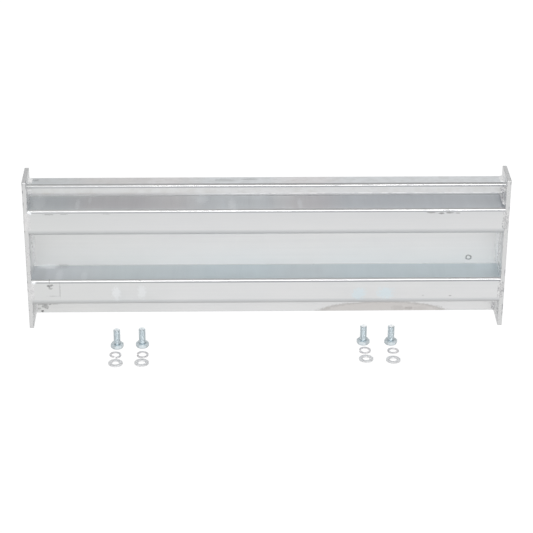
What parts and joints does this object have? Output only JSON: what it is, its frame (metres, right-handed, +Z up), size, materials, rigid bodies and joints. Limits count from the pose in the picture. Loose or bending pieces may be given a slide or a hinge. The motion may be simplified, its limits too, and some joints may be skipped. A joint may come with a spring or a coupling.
{
  "type": "ribbed tread plank with bolt-on end plates",
  "caption": "Long aluminium tread plank with hooked stiffening ribs, welded between two drilled end plates, standing on edge with its loose bolts and washers laid out in front.",
  "frame": {"origin": "middle of the plank's lower long edge, on the floor, halfway through the deck's thickness", "axes": "+X along the plank to its right end plate, +Y out of the plank's flat face and away from its ribs, +Z up"},
  "size_m": [0.902, 0.218, 0.3048],
  "materials": {
    "plank": "mill-finish extrusion, satin, with fine lengthwise die lines and cloudy mottling",
    "end_plate": "mill-finish plate, satin, with sawn and sanded edges",
    "weld": "bright rippled weld metal",
    "bolt_zinc": "bright blue-white zinc plating, threaded",
    "lock_washer_zinc": "bright zinc-plated spring steel, cut ends",
    "flat_washer_zinc": "zinc-plated stamped steel, tumbled edges"
  },
  "bodies": {
    "tread": {"plank": "plank", "left_end_plate": "end_plate", "right_end_plate": "end_plate", "weld_nose_top_left": "weld", "weld_nose_lip_left": "weld", "weld_deck_upper_left": "weld", "weld_deck_middle_left": "weld", "weld_deck_lower_left": "weld", "weld_upper_lip_left": "weld", "weld_lower_lip_left": "weld", "weld_nose_top_right": "weld", "weld_nose_lip_right": "weld", "weld_deck_upper_right": "weld", "weld_deck_middle_right": "weld", "weld_deck_lower_right": "weld", "weld_upper_lip_right": "weld", "weld_lower_lip_right": "weld"},
    "hex_bolt_1": {"hex_bolt_1": "bolt_zinc"},
    "hex_bolt_2": {"hex_bolt_2": "bolt_zinc"},
    "hex_bolt_3": {"hex_bolt_3": "bolt_zinc"},
    "hex_bolt_4": {"hex_bolt_4": "bolt_zinc"},
    "lock_washer_1": {"lock_washer_1": "lock_washer_zinc"},
    "lock_washer_2": {"lock_washer_2": "lock_washer_zinc"},
    "lock_washer_3": {"lock_washer_3": "lock_washer_zinc"},
    "lock_washer_4": {"lock_washer_4": "lock_washer_zinc"},
    "flat_washer_1": {"flat_washer_1": "flat_washer_zinc"},
    "flat_washer_2": {"flat_washer_2": "flat_washer_zinc"},
    "flat_washer_3": {"flat_washer_3": "flat_washer_zinc"},
    "flat_washer_4": {"flat_washer_4": "flat_washer_zinc"}
  },
  "joints": [
    {"name": "hex_bolt_1_lift", "type": "slide", "parent": "tread", "child": "hex_bolt_1", "axis": [0, 0, 1], "range_m": [0, 0.1]},
    {"name": "hex_bolt_2_lift", "type": "slide", "parent": "tread", "child": "hex_bolt_2", "axis": [0, 0, 1], "range_m": [0, 0.1]},
    {"name": "hex_bolt_3_lift", "type": "slide", "parent": "tread", "child": "hex_bolt_3", "axis": [0, 0, 1], "range_m": [0, 0.1]},
    {"name": "hex_bolt_4_lift", "type": "slide", "parent": "tread", "child": "hex_bolt_4", "axis": [0, 0, 1], "range_m": [0, 0.1]},
    {"name": "lock_washer_1_lift", "type": "slide", "parent": "tread", "child": "lock_washer_1", "axis": [0, 0, 1], "range_m": [0, 0.1]},
    {"name": "lock_washer_2_lift", "type": "slide", "parent": "tread", "child": "lock_washer_2", "axis": [0, 0, 1], "range_m": [0, 0.1]},
    {"name": "lock_washer_3_lift", "type": "slide", "parent": "tread", "child": "lock_washer_3", "axis": [0, 0, 1], "range_m": [0, 0.1]},
    {"name": "lock_washer_4_lift", "type": "slide", "parent": "tread", "child": "lock_washer_4", "axis": [0, 0, 1], "range_m": [0, 0.1]},
    {"name": "flat_washer_1_lift", "type": "slide", "parent": "tread", "child": "flat_washer_1", "axis": [0, 0, 1], "range_m": [0, 0.1]},
    {"name": "flat_washer_2_lift", "type": "slide", "parent": "tread", "child": "flat_washer_2", "axis": [0, 0, 1], "range_m": [0, 0.1]},
    {"name": "flat_washer_3_lift", "type": "slide", "parent": "tread", "child": "flat_washer_3", "axis": [0, 0, 1], "range_m": [0, 0.1]},
    {"name": "flat_washer_4_lift", "type": "slide", "parent": "tread", "child": "flat_washer_4", "axis": [0, 0, 1], "range_m": [0, 0.1]}
  ]
}
